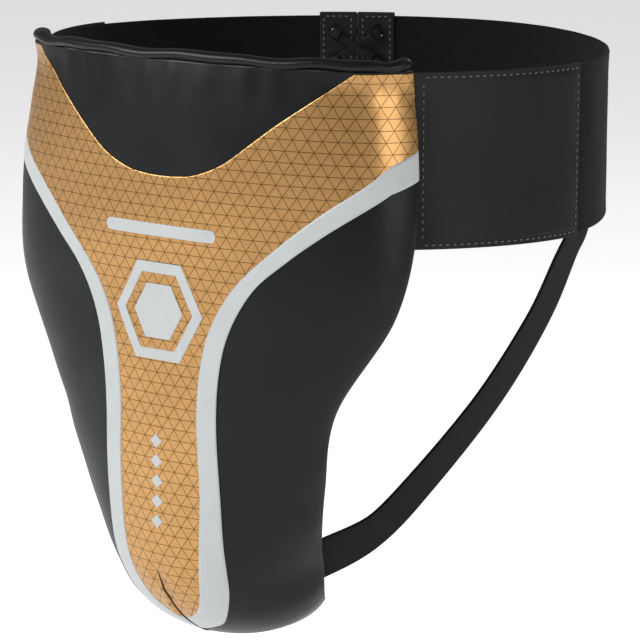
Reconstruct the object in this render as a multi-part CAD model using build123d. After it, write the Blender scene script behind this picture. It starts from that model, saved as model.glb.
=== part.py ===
"""Groin protector: a padded front guard on a wide elastic waistband, laced at the back, with two leg straps.

Frame: origin at the middle of the waist opening, half way up the waistband.
+Z is up, -Y is the front of the guard and +X is the wearer's left. Lengths are in millimetres.
"""
from build123d import *
import os
from math import asin, atan2, cos, pi, radians, sin

# ---- waistband -----------------------------------------------------------------------------------
WAIST_WIDTH = 302.0  # outside of the band, side to side
WAIST_DEPTH = 267.0  # outside of the band, front to back
BAND_HEIGHT = 80.0
ELASTIC_THICK = 1.8
# The waist's outline as shares of its half width and half depth, from the front round to the back.
WAIST_SHAPE = [(0, -1), (0.464, -0.89), (0.828, -0.586), (1, -0.12), (0.861, 0.358), (0.536, 0.769), (0, 1)]

HIP_PATCH_LENGTH = 88.0
HIP_PATCH_THICK = 1.4
HIP_PATCH_OVERHANG = 1.0  # past the elastic's top and bottom edges
TAB_LENGTH = 20.0  # each lacing tab, along the band
TAB_SKIN = 1.1
TAB_OVERHANG = 2.0
TAB_GAP = 1.6  # between the two tabs when laced tight
LACING_OFFSET = 78.0  # the lacing sits this far round from the back's middle, to the wearer's right
BAND_CLEARANCE = 1.2  # from the guard's rear edge to the band that starts behind it

# ---- guard ---------------------------------------------------------------------------------------
SKIN = 1.2  # leatherette cover
LINING = 1.0
GAP = 0.2  # between layers
LEAN = 0.5  # share of the centre line's slope that the cross sections lean by
# Cross sections down the guard's centre line. Each is: forward of the waist's front, below the band's
# top, half width, depth of the side edges behind the centre, thickness at the centre, width of the rim.
SECTIONS = [
    (-1.5, -2.0, 116.0, 38.0, 6.0, 5.0),
    (0.0, 8.0, 115.0, 41.0, 12.0, 8.0),
    (2.0, 30.0, 119.0, 41.0, 17.0, 10.0),
    (4.5, 71.0, 122.5, 39.0, 19.0, 11.0),
    (5.5, 112.0, 115.5, 33.0, 18.0, 11.0),
    (7.5, 158.0, 88.0, 27.0, 17.0, 11.0),
    (8.0, 198.0, 76.0, 34.0, 21.0, 11.0),
    (8.0, 231.0, 66.0, 44.0, 24.0, 11.0),
    (3.5, 252.0, 61.0, 48.0, 24.0, 11.0),
    (-8.5, 271.0, 58.5, 42.0, 22.0, 11.0),
    (-25.5, 283.0, 53.0, 35.0, 17.0, 10.0),
    (-43.5, 287.0, 45.0, 29.0, 12.0, 9.0),
]
STEPS = 4  # loft sections per listed section
# Layers behind the cover, as shares of the filling's depth from the front.
SOFT_SHARE = 0.42
DENSE_SHARE = 0.66
CUP_SHARE = 0.82
CUP_TOP = 182.0  # below the band's top
CUP_BOTTOM = 281.0
CUP_REACH = radians(72)  # how far round the section the hard cup goes
BUMPER_REACH = radians(83)
BINDING_DIA = 5.6  # rolled binding along the top
EDGE_BINDING = 1.2

# ---- film on the cover ---------------------------------------------------------------------------
FILM = 0.3
FILM_GAP = 0.4
FILM_REACH = radians(85)
FILM_STEPS = 16  # loft sections per listed section, because the film's edges cross the sections
FILM_MIDDLE = 0.3  # the two stripes stop this far from the centre line
FILM_LEAST = 1.0  # narrowest end of a film
# Each point is: out from the centre line, down along the centre line.
GOLD_EDGE = [(124, 34), (112, 45), (104, 53), (88, 65), (67, 82), (47, 100), (34, 118), (27, 137), (24, 165),
             (25, 212), (21.5, 248), (14, 270), (1, 281)]
STRIPE_EDGE = [(124, 49), (110, 60), (88, 76), (71, 89), (55, 103), (43, 122), (37, 142), (35, 170), (36, 220),
               (34, 255), (25, 278), (1, 293)]
# As seen from the front: out from the centre line, below the band's top.
INSET_EDGE = [(0, 49), (21, 47), (42, 38), (62, 24), (82, 9), (104, -4)]
MARK_LIFT = 0.1  # the marks lie this far above the film
RULE_LENGTH = 68.0
RULE_HEIGHT = 6.0
RULE_DROP = 78.0
BADGE_SIDE = 27.0
BADGE_DROP = 117.0
BADGE_WALL = 6.0
DOT_SIZE = 5.0
DOT_PITCH = 10.0
DOT_COUNT = 5
DOT_DROP = 180.0

# ---- straps, lace and small pieces ---------------------------------------------------------------
STRAP_WIDTH = 25.0
STRAP_THICK = 1.6
STRAP_SEWN = 22.0  # length sewn inside the band
STRAP_AFTER_PATCH = 14.0  # the strap's middle, behind the hip patch's rear edge
STRAP_CLEARANCE = 4.8  # behind the rim, because the flat strap meets it at an angle
STRAP_END = 252.0  # below the band's top, where the strap is sewn to the guard's rim
STRAP_SEAT_GAP = 2.2  # inside the band, which curves round the flat strap
# Left strap, below the band: out from the middle, behind the waist's middle, below the band's bottom.
STRAP_ROUTE = [(141, -4, 14), (127, -6, 46), (104, -14, 88), (79, -33, 129), (63, -53, 154)]
LACE_WIDTH = 4.6
LACE_THICK = 1.1
LACE_LIFT = 2.4  # the straight runs clear the curved tabs and the eyelets
EYELET_FIRST = 9.0  # below the band's top
EYELET_PITCH = 15.5
EYELET_ROWS = 4
EYELET_SETBACK = 12.0  # from the lacing's middle
EYELET_BORE = 2.6  # radius
EYELET_WALL = 0.6
EYELET_FLANGE = 1.4
TIP_LENGTH = 11.0

BAND_TOP = BAND_HEIGHT / 2
WAIST_FRONT = -WAIST_DEPTH / 2


def save(node, *solids):
    """Write one named sub-part."""
    shape = solids[0] if len(solids) == 1 else Compound(children=list(solids))
    shape.label = node
    export_step(shape, f"parts/{node}.step")


def mirrored(solid):
    """The same piece on the wearer's right."""
    return mirror(solid, about=Plane.YZ)


# ---- the guard's cross sections ------------------------------------------------------------------
def section(k):
    """Section values at place k down the list, smoothly between the listed ones."""
    i = min(int(k), len(SECTIONS) - 2)
    t = k - i
    a, b, c, d = (SECTIONS[min(max(i + j, 0), len(SECTIONS) - 1)] for j in (-1, 0, 1, 2))
    return [
        q + 0.5 * t * (r - p + t * (2 * p - 5 * q + 4 * r - s + t * (3 * (q - r) + s - p)))
        for p, q, r, s in zip(a, b, c, d)
    ]


def lean(k):
    """Angle by which the section at k leans back from level."""
    front_a, down_a = section(max(k - 0.5, 0))[:2]
    front_b, down_b = section(min(k + 0.5, len(SECTIONS) - 1))[:2]
    return max(0.0, LEAN * atan2(front_a - front_b, down_b - down_a))


def place(k, x, depth, below=0.0):
    """A point in the section at k: x sideways, depth behind the centre line, below the section's plane."""
    forward, down = section(k)[:2]
    angle = lean(k)
    y = WAIST_FRONT - forward + depth * cos(angle) + below * sin(angle)
    return Vector(x, y, BAND_TOP - down + depth * sin(angle) - below * cos(angle))


def level(k, share):
    """Depth at the centre and inset at the side of the filling's surface with this share in front."""
    thick, rim = section(k)[4:]
    deep = thick - SKIN - LINING - 2 * GAP
    wide = rim - SKIN - LINING - 2 * GAP
    return SKIN + GAP + share * deep, SKIN + GAP + share * wide


def curve(k, centre, side, back=0.0, reach=pi / 2, below=0.0, start=None):
    """Points across the section at k, `centre` behind its front and `side` in from its edges."""
    half, edge = section(k)[2:4]
    start = -reach if start is None else start
    angles = [start + (reach - start) * i / 12 for i in range(13)]
    deep = edge - back - centre
    return [place(k, (half - side) * sin(a), centre + deep * (1 - cos(a)), below) for a in angles]


def ring_wire(front, rear, corners=()):
    """Closed wire from a front curve, optional corner points, and a rear curve."""
    edges = [Spline(*front)]
    path = [front[-1], *corners, rear[-1]]
    edges += [Line(p, q) for p, q in zip(path, path[1:])]
    edges.append(Spline(*rear[::-1]))
    path = [rear[0], *(Vector(-c.X, c.Y, c.Z) for c in reversed(corners)), front[0]]
    edges += [Line(p, q) for p, q in zip(path, path[1:])]
    return Wire(edges)


def stations(first, last, steps=STEPS):
    """Places from first to last on one common grid, so that neighbouring lofts keep their gaps."""
    return [i / steps for i in range(round(first * steps), round(last * steps) + 1)]


def place_below_top(drop):
    """The place on the list whose front lies this far below the band's top."""
    low, high = 0.0, float(len(SECTIONS) - 1)
    for _ in range(40):
        middle = (low + high) / 2
        low, high = (middle, high) if section(middle)[1] < drop else (low, middle)
    return round(low * STEPS) / STEPS


LAST = len(SECTIONS) - 1.0


def layer(share_a, share_b, first=0.0, last=LAST, reach=pi / 2):
    """A foam or shell layer between two shares of the filling."""
    wires = []
    for k in stations(first, last):
        a, b = level(k, share_a), level(k, share_b)
        front = curve(k, a[0] + GAP / 2, a[1] + GAP / 2, SKIN + GAP, reach)
        rear = curve(k, b[0] - GAP / 2, b[1] - GAP / 2, SKIN + GAP, reach)
        wires.append(ring_wire(front, rear))
    return Solid.make_loft(wires, ruled=True)


def skin(inside, outside):
    """The front skin between two offsets, wrapped round the rear rim when it starts at the surface."""
    wires = []
    for k in stations(0.0, LAST):
        half, edge, _, rim = section(k)[2:]
        front = curve(k, outside, outside, outside)
        rear = curve(k, inside, inside, max(inside, outside))
        corners = ()
        if outside == 0.0:
            corners = (place(k, half - rim, edge), place(k, half - rim, edge - inside))
        wires.append(ring_wire(front, rear, corners))
    return Solid.make_loft(wires, ruled=True)


def outer_cover():
    return skin(SKIN, 0.0)


def back_lining():
    wires = []
    for k in stations(0.0, LAST):
        thick, rim = section(k)[4:]
        front = curve(k, thick - LINING, rim - LINING, SKIN + GAP)
        rear = curve(k, thick, rim, SKIN + GAP)
        wires.append(ring_wire(front, rear))
    return Solid.make_loft(wires, ruled=True)


def cup_edge_bumper():
    """Soft strip along each side of the hard cup."""
    first, last = place_below_top(CUP_TOP), place_below_top(CUP_BOTTOM)
    wires = []
    for k in stations(first, last):
        a, b = level(k, DENSE_SHARE), level(k, CUP_SHARE)
        start = CUP_REACH + radians(1)
        front = curve(k, a[0] + GAP / 2, a[1] + GAP / 2, SKIN + GAP, BUMPER_REACH, start=start)
        rear = curve(k, b[0] - GAP / 2, b[1] - GAP / 2, SKIN + GAP, BUMPER_REACH, start=start)
        sides = [Line(front[-1], rear[-1]), Line(rear[0], front[0])]
        wires.append(Wire([Spline(*front), sides[0], Spline(*rear[::-1]), sides[1]]))
    return Solid.make_loft(wires, ruled=True)


def top_binding():
    """Rolled leatherette binding that closes the guard's top edge."""
    thick, rim = section(0)[4:]
    path = Spline(*curve(0, thick / 2, rim / 2, SKIN, below=-BINDING_DIA / 2 - GAP))
    profile = Plane(origin=path @ 0, z_dir=path % 0) * Circle(BINDING_DIA / 2)
    roll = sweep(profile, path=path)
    return roll + Pos(*(path @ 0)) * Sphere(BINDING_DIA / 2) + Pos(*(path @ 1)) * Sphere(BINDING_DIA / 2)


def edge_binding():
    """Flat binding behind the left rim, from the waistband's start down to the bottom."""
    wires = []
    for k in stations(0.0, LAST):
        half, edge, _, rim = section(k)[2:]
        near, far = edge + GAP, edge + GAP + EDGE_BINDING
        outer, inner = half - SKIN, half - rim - LINING
        corners = [(outer, near), (outer, far), (inner, far), (inner, near)]
        wires.append(Wire.make_polygon([place(k, x, depth) for x, depth in corners]))
    return Solid.make_loft(wires, ruled=True)


def bottom_binding():
    """Leatherette end piece that closes the layers at the bottom."""
    half, edge, thick, rim = section(LAST)[2:]
    front = curve(LAST, 0, 0, below=GAP)
    rear = curve(LAST, thick, rim, below=GAP)
    down = place(LAST, 0, 0, 1) - place(LAST, 0, 0, 0)
    return extrude(Face(ring_wire(front, rear)), amount=EDGE_BINDING, dir=down)


# ---- film and marks ------------------------------------------------------------------------------
def centre_run(k):
    """Distance down the centre line from the top to place k."""
    count = max(1, round(k * 10))
    spots = [place(k * i / count, 0, 0) for i in range(count + 1)]
    return sum((q - p).length for p, q in zip(spots, spots[1:]))


def edge_finder(points):
    """A smooth outline edge, as a function from the run down the centre line to the distance out."""
    edge = Spline(*[(x, run) for x, run in points])

    def out_at(run):
        low, high = 0.0, 1.0
        for _ in range(24):
            middle = (low + high) / 2
            low, high = (middle, high) if (edge @ middle).Y < run else (low, middle)
        return (edge @ low).X

    return out_at


def film_piece(inner, outer, first_run, last_run):
    """Film between two edges, either of which may be None for the middle or the side of the guard."""
    wires = []
    for k in stations(0.0, LAST, FILM_STEPS):
        run = centre_run(k)
        if not first_run <= run <= last_run:
            continue
        half = section(k)[2]
        far = half * sin(FILM_REACH) if run <= outer[1] else min(half * sin(FILM_REACH), outer[0](run))
        near = -far if inner is None else (FILM_MIDDLE if run >= inner[1] else inner[0](run))
        if far - near < FILM_LEAST:
            continue
        start, reach = asin(near / half), asin(far / half)
        lift = FILM_GAP + FILM
        front = curve(k, -lift, -lift, -lift, reach, start=start)
        rear = curve(k, -FILM_GAP, -FILM_GAP, -FILM_GAP, reach, start=start)
        wires.append(ring_wire(front, rear))
    return Solid.make_loft(wires, ruled=True)


def front_prism(sketch):
    """A front-view sketch as a prism through the guard's front half."""
    wall = Plane(origin=(0, WAIST_FRONT - 40, 0), x_dir=(1, 0, 0), z_dir=(0, -1, 0))
    return extrude(wall * sketch, amount=-150)


def inset_region():
    """The front view of the inset, up past the guard's top."""
    spots = [Vector(x, BAND_TOP - drop) for x, drop in INSET_EDGE]
    edge = Spline(*[Vector(-p.X, p.Y) for p in reversed(spots[1:])], *spots)
    start, end = edge @ 0, edge @ 1
    high = end.Y + 30
    corners = [end, (end.X, high), (start.X, high), start]
    return make_face([edge] + [Line(p, q) for p, q in zip(corners, corners[1:])])


def marks_sketch():
    """Plain marks: a rule, a six-sided badge and a column of diamonds."""
    shapes = Pos(0, BAND_TOP - RULE_DROP) * SlotOverall(RULE_LENGTH, RULE_HEIGHT)
    badge = RegularPolygon(BADGE_SIDE, 6) - RegularPolygon(BADGE_SIDE - BADGE_WALL, 6)
    badge += RegularPolygon(BADGE_SIDE - 2 * BADGE_WALL, 6)
    shapes += Pos(0, BAND_TOP - BADGE_DROP) * badge
    for i in range(DOT_COUNT):
        shapes += Pos(0, BAND_TOP - DOT_DROP - i * DOT_PITCH) * Rot(0, 0, 45) * Rectangle(DOT_SIZE, DOT_SIZE)
    return shapes


# ---- waistband -----------------------------------------------------------------------------------
def waist_outline():
    half = [(x * WAIST_WIDTH / 2, y * WAIST_DEPTH / 2) for x, y in WAIST_SHAPE]
    other = [(-x, y) for x, y in reversed(half[1:-1])]
    return Spline(*half, *other, periodic=True)


WAIST = waist_outline()
ROUND = WAIST.length


def on_waist(along, out=0.0, z=0.0):
    """A point this far round the band from the front's middle, `out` from its outer face."""
    p = WAIST.position_at(along, position_mode=PositionMode.LENGTH)
    t = WAIST.tangent_at(along, position_mode=PositionMode.LENGTH)
    return Vector(p.X + out * t.Y, p.Y - out * t.X, z)


def strip(start, end, inner, outer, low, high):
    """A band from start to end round the waist, between two offsets and two heights."""
    count = max(3, round((end - start) / 14))
    along = [start + (end - start) * i / count for i in range(count + 1)]
    outside = [on_waist(a, outer, low) for a in along]
    inside = [on_waist(a, inner, low) for a in along]
    sides = [Line(outside[-1], inside[-1]), Line(inside[0], outside[0])]
    face = Face(Wire([Spline(*outside), sides[0], Spline(*inside[::-1]), sides[1]]))
    return extrude(face, amount=high - low, dir=(0, 0, 1))


def band_start():
    """Where the band starts: just behind the rear edge of the guard."""
    levels = [k for k in stations(0.0, LAST) if section(k)[1] < BAND_HEIGHT + 10]
    rear = max(place(k, 0, section(k)[3] + GAP + EDGE_BINDING).Y for k in levels) + BAND_CLEARANCE
    low, high = 0.0, ROUND / 3
    for _ in range(40):
        middle = (low + high) / 2
        inner = min(on_waist(middle, HIP_PATCH_THICK + 0.1).Y, on_waist(middle).Y)
        low, high = (middle, high) if inner < rear else (low, middle)
    return high


START = band_start()
LACING = ROUND / 2 + LACING_OFFSET
SIDES = {"left": (START, 1), "right": (ROUND - START, -1)}


def waist_elastic(side):
    start, way = SIDES[side]
    end = LACING - way * (TAB_GAP / 2 + TAB_SKIN + GAP)
    return strip(min(start, end), max(start, end), -ELASTIC_THICK, 0, -BAND_TOP, BAND_TOP)


def hip_patch(side):
    start, way = SIDES[side]
    end = start + way * HIP_PATCH_LENGTH
    edge = BAND_TOP + HIP_PATCH_OVERHANG
    return strip(min(start, end), max(start, end), 0.1, 0.1 + HIP_PATCH_THICK, -edge, edge)


def tab_place(side, back, out, row=None):
    """A point on a lacing tab, `back` from the lacing's middle."""
    way = SIDES[side][1]
    z = 0 if row is None else BAND_TOP - EYELET_FIRST - row * EYELET_PITCH
    return on_waist(LACING - way * back, out, z)


def eyelet_axis(side, row):
    """Outer end and direction of one eyelet's bore."""
    outside = tab_place(side, EYELET_SETBACK, TAB_SKIN, row)
    inside = tab_place(side, EYELET_SETBACK, -ELASTIC_THICK - TAB_SKIN, row)
    return outside, (outside - inside).normalized(), (outside - inside).length


def drilled(solid, side, radius):
    for row in range(EYELET_ROWS):
        mouth, way, length = eyelet_axis(side, row)
        tool = Cylinder(radius, length + 6, align=(Align.CENTER, Align.CENTER, Align.MIN))
        solid -= Plane(origin=mouth + way * 3, z_dir=-way) * tool
    return solid


def lacing_tab(side):
    """Leatherette folded over the elastic's end, with a row of eyelet holes."""
    way = SIDES[side][1]
    near, far = LACING - way * TAB_GAP / 2, LACING - way * (TAB_GAP / 2 + TAB_LENGTH)
    pocket = near - way * TAB_SKIN
    edge = BAND_TOP + TAB_OVERHANG
    sleeve = strip(min(near, far), max(near, far), -ELASTIC_THICK - TAB_SKIN, TAB_SKIN, -edge, edge)
    past = far - way * 5
    room = strip(min(pocket, past), max(pocket, past), -ELASTIC_THICK - 0.1, 0.1, -BAND_TOP - 0.1, BAND_TOP + 0.1)
    return drilled(sleeve - room, side, EYELET_BORE + EYELET_WALL + 0.1)


def eyelets(side):
    """Rolled eyelets, each a short tube with a flange on both faces."""
    rings = []
    for row in range(EYELET_ROWS):
        mouth, way, length = eyelet_axis(side, row)
        base = Plane(origin=mouth + way * 0.1, z_dir=-way)
        low = (Align.CENTER, Align.CENTER, Align.MIN)
        high = (Align.CENTER, Align.CENTER, Align.MAX)
        tube = Cylinder(EYELET_BORE + EYELET_WALL, length + 0.2, align=low)
        flange = Cylinder(EYELET_BORE + EYELET_FLANGE, EYELET_WALL, align=high)
        ring = tube + flange + Pos(0, 0, length + 0.2 + EYELET_WALL) * flange
        ring -= Pos(0, 0, -2) * Cylinder(EYELET_BORE, length + 6, align=low)
        rings.append(base * ring)
    return rings


# ---- lace ----------------------------------------------------------------------------------------
def flat_run(a, b, face):
    """A straight run of flat lace from a to b that lies on a surface facing `face`."""
    run = b - a
    plane = Plane(origin=(a + b) / 2, x_dir=run, z_dir=run.normalized().cross(face).cross(run))
    return plane * Box(run.length, LACE_WIDTH, LACE_THICK)


def lace_pieces():
    """The lace: a bar at the top outside, crosses in turn inside and outside, and a knot at the bottom."""
    lift = LACE_THICK / 2 + LACE_LIFT
    outward = (on_waist(LACING, 1) - on_waist(LACING, 0)).normalized()
    faces = {1: TAB_SKIN + lift, -1: -ELASTIC_THICK - TAB_SKIN - lift}

    def spot(side, row, face, extra=0.0):
        return tab_place(side, EYELET_SETBACK, faces[face] + face * extra, row)

    over = LACE_THICK + 0.3
    runs = [flat_run(spot("left", 0, 1), spot("right", 0, 1), outward)]
    for row in range(EYELET_ROWS - 1):
        face = -1 if row % 2 == 0 else 1
        runs.append(flat_run(spot("left", row, face), spot("right", row + 1, face), outward))
        runs.append(flat_run(spot("right", row, face, over), spot("left", row + 1, face, over), outward))
    for side in SIDES:
        for row in range(EYELET_ROWS):
            a, b = spot(side, row, 1, over), spot(side, row, -1, over)
            plane = Plane(origin=(a + b) / 2, z_dir=a - b)
            runs.append(plane * Cylinder(EYELET_BORE - 0.8, (a - b).length))
    return runs


def knot_place():
    drop = EYELET_FIRST + (EYELET_ROWS - 0.2) * EYELET_PITCH
    return on_waist(LACING, TAB_SKIN + LACE_LIFT + 1.2, BAND_TOP - drop)


def lace():
    runs = lace_pieces()
    outward = (on_waist(LACING, 1) - on_waist(LACING, 0)).normalized()
    knot = knot_place()
    faces = TAB_SKIN + LACE_THICK / 2 + LACE_LIFT
    for side in SIDES:
        last = tab_place(side, EYELET_SETBACK, faces, EYELET_ROWS - 1)
        runs.append(flat_run(last, knot, outward))
        runs.append(flat_run(knot, tail_end(side), outward))
    body = runs[0].fuse(*runs[1:])
    return body + Pos(*knot) * scale(Sphere(1), by=(4.4, 3.0, 3.4))


def tail_end(side):
    """Where the lace's short tail meets its tip."""
    return tab_place(side, 7.0, TAB_SKIN + LACE_LIFT + LACE_THICK / 2) - Vector(0, 0, BAND_TOP - 3.0)


def lace_tips():
    tips = []
    for side in SIDES:
        end = tail_end(side)
        way = (end - knot_place()).normalized()
        tips.append(Plane(origin=end + way * (TIP_LENGTH / 2 + 0.1), z_dir=way) * Cylinder(1.1, TIP_LENGTH))
    return tips


# ---- leg straps ----------------------------------------------------------------------------------
def leg_strap():
    """Left leg strap: sewn inside the band at the hip, round the thigh to the guard's bottom."""
    along = START + HIP_PATCH_LENGTH + STRAP_AFTER_PATCH
    inside = -ELASTIC_THICK - STRAP_SEAT_GAP - STRAP_THICK / 2
    seat = [on_waist(along, inside, -BAND_TOP + STRAP_SEWN * share) for share in (1, 0.5, 0)]
    route = [Vector(x, y, -BAND_TOP - drop) for x, y, drop in STRAP_ROUTE]
    k = place_below_top(STRAP_END)
    half, edge, _, rim = section(k)[2:]
    behind = edge + GAP + EDGE_BINDING + STRAP_CLEARANCE
    path = Spline(*seat, *route, place(k, half - rim / 2, behind))
    top_way = WAIST.tangent_at(along, position_mode=PositionMode.LENGTH)
    above, under = (place(j, half, section(j)[3]) for j in (k - 0.5, k + 0.5))
    low_way = (under - above).normalized()
    wires = []
    for i in range(25):
        share = i / 24
        spot, ahead = path @ share, (path % share).normalized()
        blend = max(0.0, (share - 0.1) / 0.9)
        across = top_way * (1 - blend) + low_way * blend
        across = (across - ahead * across.dot(ahead)).normalized() * (STRAP_WIDTH / 2)
        up = ahead.cross(across).normalized() * (STRAP_THICK / 2)
        corners = [spot + across + up, spot + across - up, spot - across - up, spot - across + up]
        wires.append(Wire.make_polygon(corners))
    return Solid.make_loft(wires, ruled=True)


def build():
    os.makedirs("parts", exist_ok=True)
    cup_from, cup_to = place_below_top(CUP_TOP), place_below_top(CUP_BOTTOM)
    save("outer_cover", outer_cover())
    save("soft_foam", layer(0, SOFT_SHARE))
    save("dense_foam", layer(SOFT_SHARE, DENSE_SHARE))
    save("abdomen_foam", layer(DENSE_SHARE, 1, 0, cup_from - 1 / STEPS))
    save("hard_cup", layer(DENSE_SHARE, CUP_SHARE, cup_from, cup_to, CUP_REACH))
    save("cup_edge_bumper", cup_edge_bumper(), mirrored(cup_edge_bumper()))
    save("cup_liner_foam", layer(CUP_SHARE, 1, cup_from, LAST))
    save("back_lining", back_lining())
    save("top_binding", top_binding())
    save("edge_binding_left", edge_binding())
    save("edge_binding_right", mirrored(edge_binding()))
    save("bottom_binding", bottom_binding())

    gold_edge, stripe_edge = edge_finder(GOLD_EDGE), edge_finder(STRIPE_EDGE)
    gold_end, stripe_end = GOLD_EDGE[-1][1], STRIPE_EDGE[-1][1]
    gold = film_piece(None, (gold_edge, GOLD_EDGE[0][1]), 0, gold_end)
    save("gold_film", gold - front_prism(inset_region()))
    stripe = film_piece((gold_edge, gold_end), (stripe_edge, STRIPE_EDGE[0][1]), GOLD_EDGE[0][1], stripe_end)
    save("white_stripe_left", stripe)
    save("white_stripe_right", mirrored(stripe))
    over = skin(-FILM_GAP - FILM - MARK_LIFT, -FILM_GAP - 2 * FILM - MARK_LIFT)
    save("front_marks", over & front_prism(marks_sketch()))

    for side in SIDES:
        save(f"waist_elastic_{side}", drilled(waist_elastic(side), side, EYELET_BORE + EYELET_WALL + 0.1))
        save(f"hip_patch_{side}", hip_patch(side))
        save(f"lacing_tab_{side}", lacing_tab(side))
        save(f"eyelets_{side}", *eyelets(side))
    save("lace", lace())
    save("lace_tips", *lace_tips())
    strap = leg_strap()
    save("leg_strap_left", strap)
    save("leg_strap_right", mirrored(strap))


build()
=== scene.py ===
# %% [markdown]
# Groin protector: a padded guard on a wide elastic waistband, laced at the back, with two leg straps.
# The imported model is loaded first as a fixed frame, and every piece below is made in that frame, so
# nothing needs fitting afterwards. Blender counts in metres, and a maker in millimetres: the sizes below
# are in millimetres, and MM turns them into metres.

# %% Load the frame
from bisect import bisect_right
from math import asin, atan2, cos, pi, radians, sin, tau

import bmesh
import bpy
from mathutils import Matrix, Vector


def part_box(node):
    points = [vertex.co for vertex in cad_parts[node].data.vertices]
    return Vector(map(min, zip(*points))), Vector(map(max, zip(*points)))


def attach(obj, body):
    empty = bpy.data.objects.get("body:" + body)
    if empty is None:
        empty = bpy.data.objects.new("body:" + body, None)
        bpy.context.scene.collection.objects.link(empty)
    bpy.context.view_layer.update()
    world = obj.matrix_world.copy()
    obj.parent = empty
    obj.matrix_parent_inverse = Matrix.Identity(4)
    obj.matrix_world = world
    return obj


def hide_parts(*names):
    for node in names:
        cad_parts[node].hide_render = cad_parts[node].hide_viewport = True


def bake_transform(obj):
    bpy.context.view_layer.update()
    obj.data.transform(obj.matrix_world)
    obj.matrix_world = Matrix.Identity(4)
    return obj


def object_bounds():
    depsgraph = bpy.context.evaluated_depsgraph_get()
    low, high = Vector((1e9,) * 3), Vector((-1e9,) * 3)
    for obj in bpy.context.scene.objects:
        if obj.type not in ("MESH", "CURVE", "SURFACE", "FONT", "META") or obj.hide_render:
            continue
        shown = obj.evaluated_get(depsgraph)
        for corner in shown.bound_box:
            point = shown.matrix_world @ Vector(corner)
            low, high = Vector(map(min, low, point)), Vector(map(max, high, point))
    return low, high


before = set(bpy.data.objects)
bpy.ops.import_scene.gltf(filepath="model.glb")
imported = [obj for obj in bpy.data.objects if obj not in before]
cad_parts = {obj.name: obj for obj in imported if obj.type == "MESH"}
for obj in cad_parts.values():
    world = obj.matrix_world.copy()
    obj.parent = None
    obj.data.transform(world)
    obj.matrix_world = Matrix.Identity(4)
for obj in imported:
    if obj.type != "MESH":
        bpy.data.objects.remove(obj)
cad_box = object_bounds()
MM = 0.001

# %% [markdown]
# The camera stands a little above the waist, to the wearer's left of the front, with a long lens,
# as a product is usually shown. A long lens keeps the ring of the waistband from looking stretched. The
# floor and the light are plain and pale: a soft key light from the front left draws the sheen on the
# leatherette, a wide fill shows its right side, and a rim light parts the black band from the floor.

# %% Camera, floor and light
scene = bpy.context.scene
AIM = Vector((0, -0.016, -0.1015))
AZIMUTH, ELEVATION, DISTANCE, LENS = radians(38.5), radians(12.0), 1.4, 153.95


def add_camera():
    away = Vector((sin(AZIMUTH) * cos(ELEVATION), -cos(AZIMUTH) * cos(ELEVATION), sin(ELEVATION)))
    camera = bpy.data.objects.new("camera", bpy.data.cameras.new("camera"))
    camera.data.lens = LENS
    camera.data.sensor_width = 36
    camera.location = AIM + away * DISTANCE
    camera.rotation_euler = away.to_track_quat("Z", "Y").to_euler()
    scene.collection.objects.link(camera)
    scene.camera = camera


def add_light(name, spot, size, power, colour=(1, 1, 1)):
    lamp = bpy.data.lights.new(name, "AREA")
    lamp.shape, lamp.size, lamp.energy, lamp.color = "DISK", size, power, colour
    holder = bpy.data.objects.new(name, lamp)
    holder.location = spot
    holder.rotation_euler = (Vector(spot) - AIM).to_track_quat("Z", "Y").to_euler()
    scene.collection.objects.link(holder)


def linear(code):
    """An sRGB hex colour as the linear values that a shader takes."""
    parts = [int(code[i:i + 2], 16) / 255 for i in (1, 3, 5)]
    return tuple(c / 12.92 if c <= 0.04045 else ((c + 0.055) / 1.055) ** 2.4 for c in parts) + (1.0,)


FLOOR_HALF, FLOOR_BELOW = 6.0, 0.12


def add_floor():
    mesh = bmesh.new()
    bmesh.ops.create_grid(mesh, x_segments=1, y_segments=1, size=FLOOR_HALF)
    data = bpy.data.meshes.new("floor")
    mesh.to_mesh(data)
    mesh.free()
    floor = bpy.data.objects.new("floor", data)
    floor.location.z = cad_box[0][2] - FLOOR_BELOW
    paint = bpy.data.materials.new("pale_floor")
    paint.use_nodes = True
    shader = paint.node_tree.nodes["Principled BSDF"]
    shader.inputs["Base Color"].default_value = linear("#F6F6F6")
    shader.inputs["Roughness"].default_value = 0.9
    shader.inputs["Emission Color"].default_value = linear("#FFFFFF")
    shader.inputs["Emission Strength"].default_value = 0.5
    data.materials.append(paint)
    scene.collection.objects.link(floor)


def set_world():
    world = bpy.data.worlds.new("studio")
    world.use_nodes = True
    world.node_tree.nodes["Background"].inputs["Color"].default_value = (1, 1, 1, 1)
    world.node_tree.nodes["Background"].inputs["Strength"].default_value = 0.22
    scene.world = world


add_camera()
add_floor()
set_world()
add_light("key", (-1.15, -1.4, 1.05), 0.8, 36, (0.97, 0.985, 1.0))
add_light("fill", (1.9, -0.9, 0.5), 1.3, 15)
add_light("rim", (0.3, 1.5, 1.5), 0.9, 10)
scene.view_settings.view_transform = "Standard"
print("camera at", tuple(round(c, 3) for c in scene.camera.location))

# %% [markdown]
# Every finish is made of nodes. They could be placed by hand in the shader editor, but a script is easier
# to read when one small function adds a node with its settings and links. An input is named, or given by
# its number after an underscore where several inputs share a name.

# %% Node helper
def add_node(tree, kind, settings=(), links=(), **values):
    """Add a node. settings are its properties, values its inputs by name, links (output, input) pairs."""
    node = tree.nodes.new(kind)
    for name, value in dict(settings).items():
        setattr(node, name, value)
    for name, value in values.items():
        node.inputs[int(name[1:]) if name[0] == "_" else name].default_value = value
    for output, name in links:
        tree.links.new(output, node.inputs[name])
    return node


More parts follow.
